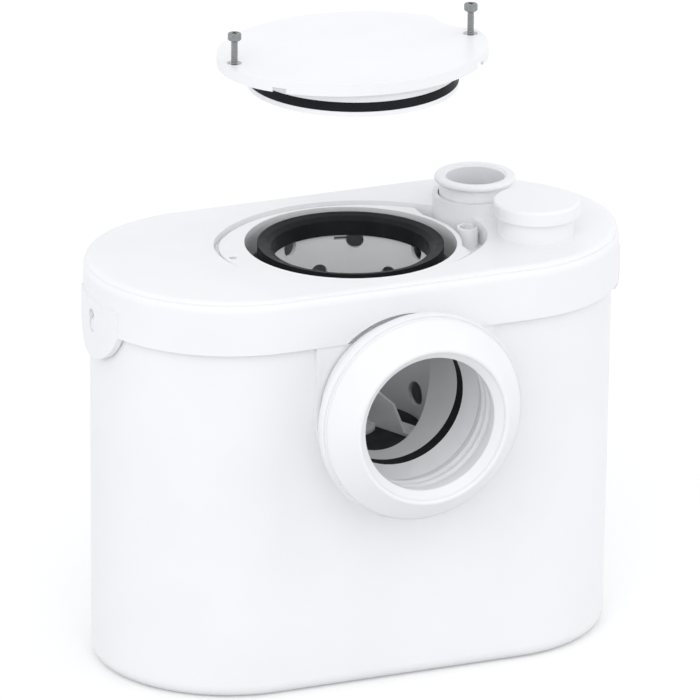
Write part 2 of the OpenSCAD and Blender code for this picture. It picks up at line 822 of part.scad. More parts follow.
// Section of the cuff: neck over the spigot, bulging flange, sloping nose, lip and flared mouth
module cuff_section() {
    bulge = [cuff_flange_r - cuff_bulge_r, cuff_front - cuff_flange_back];
    lip = [cuff_mouth_r, cuff_front - cuff_lip_r];
    mouth_z = cuff_front - cuff_mouth_l;
    throat_z = mouth_z - cuff_throat_l;
    neck_r = cuff_seat_r + cuff_neck_t;
    seat = port_face + fit_gap;
    polygon([[port_r, seat], [neck_r, seat], [neck_r, bulge[1]], bulge, lip, [cuff_mouth_r - cuff_lip_r, lip[1]],
        [cuff_throat_r, mouth_z], [cuff_throat_r, throat_z], [port_r, throat_z - (port_r - cuff_throat_r)]]);
    band(cuff_seat_r, neck_r, cuff_back, bulge[1]);
    tangent_side(bulge, cuff_bulge_r, lip, cuff_lip_r);
    difference() {
        translate(bulge) circle(cuff_bulge_r);
        translate(bulge + cuff_bulge_r * [cos(cuff_groove_turn), sin(cuff_groove_turn)]) circle(cuff_groove_r);
    }
    translate(lip) circle(cuff_lip_r);
    for (k = [1, 2]) translate([port_r, seat + k * (throat_z - seat) / 4]) circle(cuff_rib_h);
}

module inlet_cuff() {
    color("white")
    at_inlet() rotate_extrude() cuff_section();
}

module inlet_gasket() {
    color("black")
    at_inlet() ring(inlet_r, inlet_tube_r + fit_gap + over, tube_face + fit_gap, gasket_w);
}

// A hole is left out where it would break into the inlet tube
function clear_of_inlet(turn, z, r) =
    sin(turn) > 0 || norm([drum_or * cos(turn), z - inlet_z]) > inlet_tube_r + r + 2;

module drum_row(z, d, phase) {
    for (k = [0 : drum_holes - 1]) {
        turn = phase + k * 360 / drum_holes;
        if (clear_of_inlet(turn, z, d / 2))
            translate([0, 0, z]) rotate([0, 90, turn])
                translate([0, 0, drum_r - 2 * over]) cylinder(d = d, h = drum_wall + 4 * over);
    }
}

module macerator_drum() {
    low_z = drum_inside_z + hole_rise;
    up_z = drum_top - hole_drop;
    step = 180 / drum_holes;
    color("lightgray")
    difference() {
        union() {
            at_hatch() {
                disc(drum_or, drum_floor_z, drum_top - drum_floor_z);
                disc(drum_flange_r, drum_seal_foot - drum_flange_t, drum_flange_t);
                ring(hub_r, hub_r + 5, motor_top, drum_foot_h);
            }
            at_inlet() disc(inlet_tube_r, drum_or / 3, tube_face - drum_or / 3);
        }
        at_hatch() {
            disc(drum_r, drum_inside_z, drum_top);
            disc(shaft_r + 3, drum_floor_z - over, drum_floor_t + 2 * over);
            for (k = [0 : rows_up - 1]) drum_row(up_z - k * row_pitch_up, hole_d_up, phase_up + k * step);
            for (k = [0 : rows_low - 1]) drum_row(low_z + k * row_pitch_low, hole_d_low, phase_low + k * step);
            for (turn = [0, 180]) rotate([0, 0, drum_slot_turn + turn])
                translate([drum_r - over, -drum_slot_w / 2, up_z]) cube([drum_wall + 2 * over, drum_slot_w, drum_slot_h]);
        }
        at_inlet() disc(inlet_r, drum_or / 3 - over, tube_face);
    }
}

// Black ring over the drum's rim: an outer wall, a top that falls inwards and an inner lip
module drum_seal() {
    inner = drum_r - fit_gap;
    outer = drum_or + fit_gap;
    lip_z = drum_seal_top - drum_seal_h;
    color("black")
    at_hatch() rotate_extrude()
        polygon([[outer, drum_seal_foot], [drum_seal_or, drum_seal_foot], [drum_seal_or, drum_seal_top],
            [drum_or, drum_seal_top - drum_seal_fall], [drum_seal_r + fit_gap, drum_seal_top - 3 * drum_seal_fall],
            [drum_seal_r, lip_z], [inner, lip_z], [inner, drum_top + fit_gap], [outer, drum_top + fit_gap]]);
}

module hatch_cover() {
    color("white")
    translate([0, 0, hatch_lift]) at_hatch() difference() {
        union() {
            translate([0, 0, hatch_under]) linear_extrude(hatch_plate_t) oval(0);
            translate([0, 0, hatch_rim_z]) linear_extrude(hatch_rim_h - over) oval_band(-hatch_rim_t, 0);
            ring(hatch_plug_r - hatch_plug_t, hatch_plug_r, hatch_under - hatch_depth, hatch_depth + over);
        }
        ring(hatch_plug_r - hatch_groove, hatch_plug_r + over, hatch_under - hatch_depth + hatch_lip_h, hatch_seal_h);
        translate([0, 0, hatch_rim_z - over]) linear_extrude(hatch_rim_h + 2 * over)
            collar_plan(collar_r + hatch_rim_gap);
        for (side = [0, 1]) mirror([side, 0, 0]) {
            translate([oval_x, 0, hatch_rim_z - over]) rotate([0, 0, -hatch_slot_turn])
                translate([hatch_end_r - 2 * hatch_rim_t, -hatch_slot_w / 2, 0])
                    cube([4 * hatch_rim_t, hatch_slot_w, hatch_slot_h + over]);
            translate([hatch_reach, 0, 0]) {
                disc(screw_r + screw_gap, hatch_under - over, hatch_plate_t + 2 * over);
                disc(screw_head_r + screw_gap, screw_seat_z, screw_dish + over);
            }
        }
        translate([hatch_reach, 0, 0]) disc(seat_post_r + fit_gap, hatch_rim_z - over, hatch_under - hatch_rim_z + over);
    }
}

module hatch_seal() {
    color("black")
    translate([0, 0, hatch_lift]) at_hatch()
        ring(hatch_plug_r - hatch_groove, hatch_plug_r + plug_gap - fit_gap,
            hatch_under - hatch_depth + hatch_lip_h, hatch_seal_h);
}

// Pan-head screw on its seat
module hatch_screw(side) {
    crown = 1.2;
    color("silver")
    translate([0, 0, hatch_lift + screw_l]) at_hatch() translate([side * hatch_reach, 0, 0])
        difference() {
            union() {
                translate([0, 0, screw_seat_z - screw_l]) cylinder(r = screw_r, h = screw_l + over);
                translate([0, 0, screw_seat_z]) cylinder(r = screw_head_r, h = screw_head_h - crown);
                translate([0, 0, screw_seat_z + screw_head_h - crown])
                    cylinder(r1 = screw_head_r, r2 = screw_head_r - crown, h = crown);
            }
            for (turn = [0, 90]) rotate([0, 0, turn])
                translate([-screw_r, -0.5, screw_seat_z + screw_head_h - 2]) cube([2 * screw_r, 1, 3]);
        }
}

module hatch_screw_left() {
    hatch_screw(-1);
}

module hatch_screw_right() {
    hatch_screw(1);
}

module hatch_inserts() {
    color("goldenrod")
    at_hatch() for (side = [1, -1]) translate([side * hatch_reach, 0, 0])
        ring(screw_r + screw_gap, insert_r, insert_foot, insert_l);
}

module discharge_spigot() {
    mouth = 1.6;
    color("white")
    at_discharge() rotate_extrude() difference() {
        union() {
            band(discharge_r, discharge_or, socket_z + fit_gap, discharge_top - bead_h / 2);
            band(discharge_r, bead_r - bead_h / 2, discharge_top - bead_h, discharge_top);
            translate([bead_r - bead_h / 2, discharge_top - bead_h / 2]) circle(bead_h / 2);
            band(discharge_r, socket_or, flange_z, flange_z + flange_t);
        }
        polygon([[discharge_r - over, discharge_top - mouth - over], [discharge_r, discharge_top - mouth],
            [discharge_r + mouth, discharge_top], [discharge_r + mouth, discharge_top + over],
            [discharge_r - over, discharge_top + over]]);
    }
}

// Riser: elbow socket at the pump, plain pipe, valve chamber and spigot socket
module discharge_riser() {
    elbow_or = outlet_or + fit_gap + riser_wall - 1;
    elbow_l = riser_or + 16;
    elbow_z = outlet_z;
    color("gainsboro")
    at_discharge() difference() {
        union() {
            disc(riser_or, tank_floor_t, valve_z - tank_floor_t);
            disc(valve_or, valve_z - riser_wall, valve_l + 2 * riser_wall);
            disc(socket_or, socket_z - riser_wall, socket_l + riser_wall);
            translate([-elbow_l, 0, elbow_z]) rotate([0, 90, 0]) cylinder(r = elbow_or, h = elbow_l);
        }
        disc(riser_r, elbow_z - outlet_r, valve_z - elbow_z + outlet_r + over);
        disc(valve_r, valve_z, valve_l + over);
        disc(socket_r, socket_z, socket_l + over);
        ring(socket_r - over, socket_r + ring_w, ring_groove_z - ring_w / 2, ring_w);
        translate([-elbow_l - over, 0, elbow_z]) rotate([0, 90, 0])
            cylinder(r = outlet_or + fit_gap, h = elbow_l - riser_or + over);
        translate([-riser_or - over, 0, elbow_z]) rotate([0, 90, 0]) cylinder(r = outlet_r, h = riser_or + over);
    }
}

module riser_seal() {
    color("black")
    at_discharge() translate([0, 0, ring_groove_z]) rotate_extrude()
        translate([discharge_or + ring_w / 2, 0]) circle(ring_w / 2);
}

// Seat ring with two posts that hold the flap's pin
module valve_seat() {
    color("gainsboro")
    at_discharge() difference() {
        union() {
            disc(valve_r - fit_gap, valve_z, seat_t);
            intersection() {
                disc(valve_r - fit_gap, valve_z, valve_l);
                for (side = [0, 1]) mirror([0, side, 0])
                    translate([flap_pin_x - knuckle_r, knuckle_l / 2 + fit_gap, valve_z])
                        cube([knuckle_r + flap_pin_r + flap_land, post_t, flap_pin_z + knuckle_r - valve_z]);
            }
        }
        disc(seat_r, valve_z - over, seat_t + 2 * over);
        translate([flap_pin_x, 0, flap_pin_z]) rotate([90, 0, 0])
            cylinder(r = flap_pin_r, h = 2 * knuckle_l, center = true);
    }
}

module check_flap() {
    color("black")
    at_discharge() difference() {
        union() {
            intersection() {
                disc(flap_r, flap_z, flap_t);
                translate([-seat_r - flap_land, -flap_r, flap_z]) cube([2 * flap_r, 2 * flap_r, flap_t]);
            }
            translate([flap_pin_x, 0, flap_pin_z]) rotate([90, 0, 0])
                cylinder(r = knuckle_r, h = knuckle_l, center = true);
            translate([flap_pin_x, -knuckle_l / 2, flap_z])
                cube([over - seat_r - flap_pin_x, knuckle_l, flap_t]);
        }
        translate([flap_pin_x, 0, flap_pin_z]) rotate([90, 0, 0])
            cylinder(r = flap_pin_r + running_gap, h = 2 * knuckle_l, center = true);
    }
}

module flap_pin() {
    color("silver")
    at_discharge() translate([flap_pin_x, 0, flap_pin_z]) rotate([90, 0, 0])
        cylinder(r = flap_pin_r, h = knuckle_l + 2 * fit_gap + 2 * post_t, center = true);
}

// Push-on cap over the unused basin inlet
module basin_cap() {
    color("white")
    at_basin() rotate_extrude() difference() {
        lid_section(cap_or, cap_under + cap_t - cap_skirt_h, cap_under + cap_t, cap_edge_r);
        band(0, cap_bore, cap_under - cap_skirt_h, cap_under);
    }
}

module motor_can() {
    color("silver")
    at_hatch() ring(stator_or, motor_r, can_z, motor_l);
}

module motor_top_cover() {
    color("darkgray")
    at_hatch() difference() {
        union() {
            disc(motor_r, top_cover_z, cover_t);
            disc(hub_r, top_cover_z - bearing_w, bearing_w + over);
        }
        disc(bearing_r, top_cover_z - bearing_w - over, bearing_w + over);
        disc(shaft_seal_r - 1, top_cover_z - over, cover_t);
        disc(shaft_seal_r, top_cover_z + shoulder, cover_t);
    }
}

module pump_screw_holes(foot, h) {
    for (k = [0 : 3]) rotate([0, 0, 22.5 + k * 90 + 90]) translate([screw_ring_r, 0, 0])
        disc(pump_screw_r, foot, h);
}

module motor_base_cover() {
    color("darkgray")
    at_hatch() difference() {
        union() {
            disc(motor_r, base_cover_z, cover_t);
            disc(hub_r, can_z - over, bearing_w + over);
        }
        disc(bearing_r, can_z, bearing_w + over);
        disc(shaft_seal_r - 1, base_cover_z, cover_t + over);
        disc(shaft_seal_r, base_cover_z - over, cover_t - shoulder + over);
        pump_screw_holes(base_cover_z - over, cover_t - 1 + over);
    }
}

// Slotted iron ring
module stator_core() {
    slot_depth = (stator_or - stator_r) / 2;
    color("slategray")
    at_hatch() difference() {
        ring(stator_r, stator_or, stator_z, stator_l);
        for (k = [0 : stator_slots - 1]) rotate([0, 0, k * 360 / stator_slots])
            translate([stator_r - over, -2, stator_z - over]) cube([slot_depth + over, 4, stator_l + 2 * over]);
    }
}

// End turns of the winding, above and below the iron
module stator_windings() {
    color("chocolate")
    at_hatch() for (z = [stator_z - winding_h, stator_z + stator_l])
        ring(stator_r + 1, stator_or - 3, z, winding_h);
}

module bearings() {
    color("lightsteelblue")
    at_hatch() for (z = [can_z, top_cover_z - bearing_w])
        ring(shaft_r + running_gap, bearing_r, z, bearing_w);
}

module shaft_seals() {
    color("black")
    at_hatch() {
        ring(shaft_r + running_gap, shaft_seal_r, base_cover_z, cover_t - shoulder);
        ring(shaft_r + running_gap, shaft_seal_r, top_cover_z + shoulder, cover_t - shoulder);
    }
}

module motor_shaft() {
    color("silver")
    at_hatch() disc(shaft_r, vane_z - 2, nut_z + nut_h + 3 - vane_z + 2);
}

module motor_rotor() {
    color("slategray")
    at_hatch() ring(shaft_r, rotor_r, stator_z, stator_l);
}

module knife_carrier() {
    color("black")
    at_hatch() union() {
        ring(shaft_r, carrier_r, carrier_z, carrier_t);
        ring(shaft_r, nut_r, drum_inside_z + 1, carrier_gap);
    }
}

// Plate with two arms, each bent up along its leading edge into a fin that comes to a point
module knife_blades() {
    color("silver")
    at_hatch() rotate([0, 0, knife_turn]) difference() {
        union() {
            disc(knife_hub_r, knife_z, knife_t);
            for (turn = [0, 180]) rotate([0, 0, turn]) translate([0, 0, knife_z]) {
                intersection() {
                    cylinder(r = knife_reach, h = knife_t);
                    translate([0, knife_offset - knife_t, 0]) cube([knife_reach, knife_w, knife_t]);
                }
                translate([0, knife_offset, 0]) rotate([90, 0, 0]) linear_extrude(knife_t)
                    polygon([[fin_start, 0], [fin_tip, 0], [fin_shoulder, fin_shoulder_h], [fin_start, knife_h]]);
            }
        }
        disc(shaft_r, knife_z - over, knife_t + 2 * over);
    }
}

module knife_nut() {
    color("dimgray")
    at_hatch() difference() {
        translate([0, 0, nut_z]) cylinder(r = nut_r, h = nut_h, $fn = 6);
        disc(shaft_r, nut_z - over, nut_h + 2 * over);
    }
}

// Round casing with its chamber set off towards a tangential outlet
module pump_volute() {
    run = discharge_x - hatch_x - riser_or - fit_gap;
    across = discharge_y - hatch_y;
    color("dimgray")
    at_hatch() difference() {
        union() {
            disc(motor_r, volute_z, volute_h);
            intersection() {
                translate([0, across, outlet_z]) rotate([0, 90, 0]) cylinder(r = outlet_or, h = run);
                translate([-over, 0, volute_z]) cube([run + 2 * over, across + 2 * outlet_or, volute_h]);
            }
        }
        translate([0, volute_offset, 0]) disc(volute_r, volute_z - over, volute_h + 2 * over);
        translate([0, across, outlet_z]) rotate([0, 90, 0]) cylinder(r = outlet_r, h = run + over);
        pump_screw_holes(volute_z - over, volute_h + 2 * over);
    }
}

module suction_cover() {
    color("dimgray")
    at_hatch() difference() {
        union() {
            disc(motor_r, suction_z, suction_t);
            for (k = [0 : 3]) rotate([0, 0, k * 90 + 67.5]) translate([screw_ring_r - pump_leg_r, 0, 0])
                disc(pump_leg_r, tank_floor_t, pump_leg_h + over);
        }
        disc(suction_r, suction_z - over, suction_t + 2 * over);
        pump_screw_holes(suction_z - over, suction_t + 2 * over);
    }
}

// One vane: half a ring that sweeps out from the hub
module vane_plan() {
    bend = impeller_r / 2;
    translate([0, bend]) intersection() {
        difference() {
            circle(bend + vane_t / 2);
            circle(bend - vane_t / 2);
        }
        translate([0, -impeller_r]) square([impeller_r, 2 * impeller_r]);
    }
}

module pump_impeller() {
    color("dimgray")
    at_hatch() difference() {
        union() {
            disc(impeller_r, impeller_top - impeller_t, impeller_t);
            disc(impeller_hub_r, vane_z + 2, vane_h);
            translate([0, 0, vane_z]) linear_extrude(vane_h + impeller_t) intersection() {
                circle(impeller_r);
                difference() {
                    for (k = [0 : vanes - 1]) rotate(k * 360 / vanes) vane_plan();
                    circle(impeller_hub_r - 1);
                }
            }
        }
        disc(shaft_r, vane_z - over, impeller_top);
    }
}

module impeller_nut() {
    color("silver")
    at_hatch() difference() {
        translate([0, 0, vane_z - 1]) cylinder(r = nut_r - 1, h = 3, $fn = 6);
        disc(shaft_r, vane_z - 2, 5);
    }
}

// Screws up through the suction cover and the volute into the motor's lower cover
module pump_screws() {
    color("silver")
    at_hatch() {
        pump_screw_holes(suction_z, base_cover_z + cover_t - 1 - suction_z);
        for (k = [0 : 3]) rotate([0, 0, 22.5 + k * 90 + 90]) translate([screw_ring_r, 0, 0])
            disc(pump_screw_r + 1.5, suction_z - pump_screw_head_h, pump_screw_head_h);
    }
}

// Bell that traps air as the tank fills
module pressure_chamber() {
    color("gainsboro")
    at_chamber() {
        foot = tank_floor_t + chamber_gap;
        ring(chamber_r, chamber_or, foot, chamber_top - foot);
        ring(chamber_r, chamber_flange_r, chamber_top - chamber_flange_t, chamber_flange_t);
    }
}

module diaphragm() {
    color("black")
    at_chamber() disc(chamber_flange_r, diaphragm_z, diaphragm_t);
}

module switch_plunger() {
    color("white")
    at_chamber() {
        disc(plunger_r, plunger_z, 2);
        disc(2.5, plunger_z, plunger_top - plunger_z);
    }
}

// Open-topped tub hung from two posts under the lid
module control_tub() {
    color("gainsboro")
    translate([tub_x, 0, 0]) difference() {
        union() {
            translate([-tub_l / 2, -tub_d / 2, tub_z]) cube([tub_l, tub_d, tub_h]);
            for (side = [0, 1]) mirror([0, side, 0])
                translate([-tub_tab, tub_d / 2 - over, tub_top - tub_tab_t])
                    cube([2 * tub_tab, tub_tab + over, tub_tab_t]);
        }
        translate([-tub_l / 2 + tub_wall, -tub_d / 2 + tub_wall, tub_floor])
            cube([tub_l - 2 * tub_wall, tub_d - 2 * tub_wall, tub_h]);
        translate([-chamber_x - tub_x, 0, 0]) disc(plunger_r + over, tub_z - over, tub_wall + 2 * over);
        for (y = [1, -1]) translate([0, y * (tub_d / 2 + tub_tab / 2), 0])
            disc(small_screw_r, tub_top - tub_tab_t - over, tub_tab_t + 2 * over);
    }
}

// Screws of the tub's two tabs
module control_screws() {
    color("silver")
    for (y = [1, -1]) translate([tub_x, y * (tub_d / 2 + tub_tab / 2), 0]) {
        disc(small_screw_r, tub_top - tub_tab_t, tub_tab_t + small_screw_l);
        disc(2 * small_screw_r, tub_top - tub_tab_t - small_head_h, small_head_h);
    }
}

// Snap-action switch with two ears for its lever
module microswitch() {
    ear_t = switch_w / 2 - lever_w / 2 - fit_gap;
    color("darkslategray")
    difference() {
        union() {
            translate([switch_x, -switch_w / 2, tub_floor]) cube([switch_l, switch_w, pivot_z + 4 - tub_floor]);
            for (side = [0, 1]) mirror([0, side, 0])
                translate([pivot_x - 2 * pivot_r, lever_w / 2 + fit_gap, pivot_z - 2 * pivot_r])
                    cube([switch_x - pivot_x + 2 * pivot_r + over, ear_t, 4 * pivot_r]);
        }
        translate([pivot_x, 0, pivot_z]) rotate([90, 0, 0])
            cylinder(r = pivot_r + running_gap, h = 2 * switch_w, center = true);
    }
}

module switch_lever() {
    color("silver")
    union() {
        translate([pivot_x - lever_arm - 5, -lever_w / 2, pivot_z - lever_t / 2]) cube([lever_arm + 5, lever_w, lever_t]);
        translate([pivot_x, 0, pivot_z]) rotate([90, 0, 0]) {
            cylinder(r = 1.8, h = lever_w, center = true);
            cylinder(r = pivot_r, h = switch_w, center = true);
        }
    }
}

module capacitor() {
    color("lightgray")
    translate([tub_x - capacitor_l / 2, tub_d / 2 - tub_wall - capacitor_r - 0.2, tub_floor + capacitor_r])
        rotate([0, 90, 0]) {
            cylinder(r = capacitor_r, h = capacitor_l);
            cylinder(r = 3, h = capacitor_l + 2);
        }
}

module terminal_block() {
    block = [36, 14, 16];
    color("ivory")
    translate([tub_x - block[0] / 2, -tub_d / 2 + tub_wall + 2, tub_floor]) difference() {
        cube(block);
        for (k = [0 : 3]) translate([4.5 + k * 9, block[1] / 2, block[2] - 6]) cylinder(r = 2.2, h = 7);
    }
}

// Bush through the tank's back wall for the supply cable
module cable_gland() {
    color("black")
    translate([gland_x, gland_wall_y, gland_z]) rotate([-90, 0, 0]) {
        ring(gland_bore, gland_r, -2 * tank_wall, 2 * tank_wall + fit_gap);
        ring(gland_bore, gland_r + gland_lip, fit_gap, gland_lip);
    }
}

tank();
lid();
lid_seal();
inlet_cuff();
inlet_gasket();
macerator_drum();
drum_seal();
hatch_cover();
hatch_seal();
hatch_screw_left();
hatch_screw_right();
hatch_inserts();
discharge_spigot();
discharge_riser();
riser_seal();
valve_seat();
check_flap();
flap_pin();
basin_cap();
motor_can();
motor_top_cover();
motor_base_cover();
stator_core();
stator_windings();
bearings();
shaft_seals();
motor_shaft();
motor_rotor();
knife_carrier();
knife_blades();
knife_nut();
pump_volute();
suction_cover();
pump_impeller();
impeller_nut();
pump_screws();
pressure_chamber();
diaphragm();
switch_plunger();
control_tub();
control_screws();
microswitch();
switch_lever();
capacitor();
terminal_block();
cable_gland();
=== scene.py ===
import json
import math

import bmesh
import bpy
from mathutils import Matrix, Vector


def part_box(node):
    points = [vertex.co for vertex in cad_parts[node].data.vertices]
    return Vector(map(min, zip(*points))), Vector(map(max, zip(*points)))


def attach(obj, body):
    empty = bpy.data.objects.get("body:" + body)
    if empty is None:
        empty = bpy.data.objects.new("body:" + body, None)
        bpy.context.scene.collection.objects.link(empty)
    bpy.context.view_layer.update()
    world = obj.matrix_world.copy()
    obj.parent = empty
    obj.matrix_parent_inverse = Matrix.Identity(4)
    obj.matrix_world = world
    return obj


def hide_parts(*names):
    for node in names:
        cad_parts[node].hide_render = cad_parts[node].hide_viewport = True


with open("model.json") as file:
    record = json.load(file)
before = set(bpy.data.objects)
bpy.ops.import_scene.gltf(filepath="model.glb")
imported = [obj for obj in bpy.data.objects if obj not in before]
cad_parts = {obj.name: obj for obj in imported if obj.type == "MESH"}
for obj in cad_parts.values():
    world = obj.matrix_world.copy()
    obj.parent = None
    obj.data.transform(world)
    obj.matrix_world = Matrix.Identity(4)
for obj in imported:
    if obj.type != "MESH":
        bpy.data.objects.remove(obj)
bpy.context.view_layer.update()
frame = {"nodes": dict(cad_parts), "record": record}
NODES = frame["nodes"]
MM = 0.001
WHITE = (1, 1, 1, 1)


# Camera, fitted to the photograph's outlines
IMAGE = 700
AZIMUTH, ELEVATION, ROLL = math.radians(23.213), math.radians(20.196), math.radians(0.646)
DISTANCE = 7.0
PIXELS_PER_M = 1603.0
TARGET = Vector((0, 0, 0.135))
TARGET_PX = (350.268, 429.846)
SENSOR_WIDTH = 36
CLIP_END = 60


def make_camera():
    level = math.cos(ELEVATION)
    back = Vector((-math.sin(AZIMUTH) * level, -math.cos(AZIMUTH) * level, math.sin(ELEVATION)))
    right = Vector((math.cos(AZIMUTH), -math.sin(AZIMUTH), 0))
    up = back.cross(right)
    across = math.cos(ROLL) * right + math.sin(ROLL) * up
    upward = -math.sin(ROLL) * right + math.cos(ROLL) * up
    place = TARGET + back * DISTANCE
    place -= across * ((TARGET_PX[0] - IMAGE / 2) / PIXELS_PER_M)
    place += upward * ((TARGET_PX[1] - IMAGE / 2) / PIXELS_PER_M)
    data = bpy.data.cameras.new("camera")
    data.sensor_width = SENSOR_WIDTH
    data.lens = PIXELS_PER_M * DISTANCE / IMAGE * SENSOR_WIDTH
    data.clip_end = CLIP_END
    camera = bpy.data.objects.new("camera", data)
    camera.matrix_world = Matrix((
        (across.x, upward.x, back.x, place.x),
        (across.y, upward.y, back.y, place.y),
        (across.z, upward.z, back.z, place.z),
        (0, 0, 0, 1)))
    bpy.context.scene.collection.objects.link(camera)
    bpy.context.scene.camera = camera


# Light and stage
# Each lamp: its name, the direction towards it, its share of a full white and its spread in degrees
LAMPS = (
    ("key", (-0.5, -0.95, 0.8), 0.215, 50),
    ("fill", (0.9, -0.3, 0.3), 0.14, 60),
    ("side", (-0.95, -0.25, 0.2), 0.08, 60))
SKY_TINT = (0.97, 0.98, 1.0, 1)
SKY_STRENGTH = 0.935
FLOOR_HALF = 8
FLOOR_Z = -0.4 * MM
FLOOR_GREY = (0.76, 0.76, 0.76, 1)
FLOOR_GLOW = 0.22


def sun(name, direction, share, spread):
    """A sun lamp that is left out of reflections, so that pale tops seen from behind don't burn out."""
    data = bpy.data.lights.new(name, "SUN")
    data.energy = share * math.pi
    data.angle = math.radians(spread)
    lamp = bpy.data.objects.new(name, data)
    lamp.rotation_euler = Vector(direction).to_track_quat("Z", "Y").to_euler()
    lamp.visible_glossy = False
    bpy.context.scene.collection.objects.link(lamp)


def seen_directly(tree):
    """1 for rays from the camera, in a reflection or through glass, 0 for light that spreads."""
    path = tree.nodes.new("ShaderNodeLightPath")
    seen = path.outputs["Is Camera Ray"]
    for kind in ("Is Glossy Ray", "Is Transmission Ray"):
        either = tree.nodes.new("ShaderNodeMath")
        either.operation = "MAXIMUM"
        tree.links.new(seen, either.inputs[0])
        tree.links.new(path.outputs[kind], either.inputs[1])
        seen = either.outputs[0]
    return seen


def make_light():
    """A soft sky that shows as plain white, and the lamps."""
    scene = bpy.context.scene
    scene.view_settings.view_transform = "Standard"
    world = bpy.data.worlds.new("studio")
    scene.world = world
    world.use_nodes = True
    tree = world.node_tree
    tree.nodes.clear()
    out = tree.nodes.new("ShaderNodeOutputWorld")
    soft = tree.nodes.new("ShaderNodeBackground")
    soft.inputs["Color"].default_value = SKY_TINT
    soft.inputs["Strength"].default_value = SKY_STRENGTH
    white = tree.nodes.new("ShaderNodeBackground")
    white.inputs["Color"].default_value = WHITE
    white.inputs["Strength"].default_value = 1.0
    mix = tree.nodes.new("ShaderNodeMixShader")
    tree.links.new(seen_directly(tree), mix.inputs["Fac"])
    tree.links.new(soft.outputs[0], mix.inputs[1])
    tree.links.new(white.outputs[0], mix.inputs[2])
    tree.links.new(mix.outputs[0], out.inputs["Surface"])
    for lamp in LAMPS:
        sun(*lamp)


def make_floor():
    """A pale floor that glows where it is seen, so that it runs into the white sky."""
    mesh = bpy.data.meshes.new("floor")
    corners = [(-FLOOR_HALF, -FLOOR_HALF), (FLOOR_HALF, -FLOOR_HALF),
               (FLOOR_HALF, FLOOR_HALF), (-FLOOR_HALF, FLOOR_HALF)]
    mesh.from_pydata([(x, y, FLOOR_Z) for x, y in corners], [], [(0, 1, 2, 3)])
    floor = bpy.data.objects.new("floor", mesh)
    bpy.context.scene.collection.objects.link(floor)
    mat = bpy.data.materials.new("floor")
    mat.use_nodes = True
    tree = mat.node_tree
    tree.nodes.clear()
    out = tree.nodes.new("ShaderNodeOutputMaterial")
    matt = tree.nodes.new("ShaderNodeBsdfDiffuse")
    matt.inputs["Color"].default_value = FLOOR_GREY
    glow = tree.nodes.new("ShaderNodeEmission")
    glow.inputs["Color"].default_value = WHITE
    share = tree.nodes.new("ShaderNodeMath")
    share.operation = "MULTIPLY"
    share.inputs[1].default_value = FLOOR_GLOW
    tree.links.new(seen_directly(tree), share.inputs[0])
    tree.links.new(share.outputs[0], glow.inputs["Strength"])
    both = tree.nodes.new("ShaderNodeAddShader")
    tree.links.new(matt.outputs[0], both.inputs[0])
    tree.links.new(glow.outputs[0], both.inputs[1])
    tree.links.new(both.outputs[0], out.inputs["Surface"])
    mesh.materials.append(mat)


# Materials
NOISE_LOW, NOISE_HIGH = 0.3, 0.7
EDGE_SAMPLES = 6
GRAIN_DEPTH = 0.2 * MM
SHEET_DEPTH = 0.3 * MM
STRAND_DEPTH = 0.6 * MM


class Mat:
    """A principled material with its coordinates in metres, in the part's own frame."""

    def __init__(self, name, metallic=0.0, specular=0.5, coat=0.0, coat_rough=0.1):
        self.mat = bpy.data.materials.new(name)
        self.mat.use_nodes = True
        self.tree = self.mat.node_tree
        self.bsdf = self.tree.nodes["Principled BSDF"]
        self.bsdf.inputs["Metallic"].default_value = metallic
        self.bsdf.inputs["Specular IOR Level"].default_value = specular
        self.bsdf.inputs["Coat Weight"].default_value = coat
        self.bsdf.inputs["Coat Roughness"].default_value = coat_rough
        self.coord = self.tree.nodes.new("ShaderNodeTexCoord").outputs["Object"]

    def link(self, a, b):
        self.tree.links.new(a, b)

    def noise(self, scale, detail, rough=0.55, stretch=None):
        """Noise with about scale waves to a metre; stretch multiplies that along each axis."""
        made = self.tree.nodes.new("ShaderNodeTexNoise")
        made.inputs["Scale"].default_value = scale
        made.inputs["Detail"].default_value = detail
        made.inputs["Roughness"].default_value = rough
        place = self.coord
        if stretch:
            mapping = self.tree.nodes.new("ShaderNodeMapping")
            mapping.inputs["Scale"].default_value = stretch
            self.link(self.coord, mapping.inputs["Vector"])
            place = mapping.outputs[0]
        self.link(place, made.inputs["Vector"])
        return made.outputs["Fac"]

    def colour(self, noise, low, high):
        """Run the colour from low to high with the noise."""
        made = self.tree.nodes.new("ShaderNodeValToRGB")
        stops = ((NOISE_LOW, low), (NOISE_HIGH, high))
        for element, (place, shade) in zip(made.color_ramp.elements, stops):
            element.position = place
            element.color = (*shade, 1)
        self.link(noise, made.inputs["Fac"])
        self.link(made.outputs["Color"], self.bsdf.inputs["Base Color"])

    def rough(self, noise, low, high):
        """Run the roughness from low to high with the noise."""
        made = self.tree.nodes.new("ShaderNodeMapRange")
        made.inputs["From Min"].default_value = NOISE_LOW
        made.inputs["From Max"].default_value = NOISE_HIGH
        made.inputs["To Min"].default_value = low
        made.inputs["To Max"].default_value = high
        self.link(noise, made.inputs["Value"])
        self.link(made.outputs["Result"], self.bsdf.inputs["Roughness"])

    def finish(self, noise, strength, depth=GRAIN_DEPTH, edge=None):
        """Add bumps from the noise, shade edges as rounded where a radius is given, return the material."""
        bump = self.tree.nodes.new("ShaderNodeBump")
        bump.inputs["Strength"].default_value = strength
        bump.inputs["Distance"].default_value = depth
        self.link(noise, bump.inputs["Height"])
        if edge:
            bevel = self.tree.nodes.new("ShaderNodeBevel")
            bevel.samples = EDGE_SAMPLES
            bevel.inputs["Radius"].default_value = edge
            self.link(bevel.outputs[0], bump.inputs["Normal"])
        self.link(bump.outputs[0], self.bsdf.inputs["Normal"])
        return self.mat


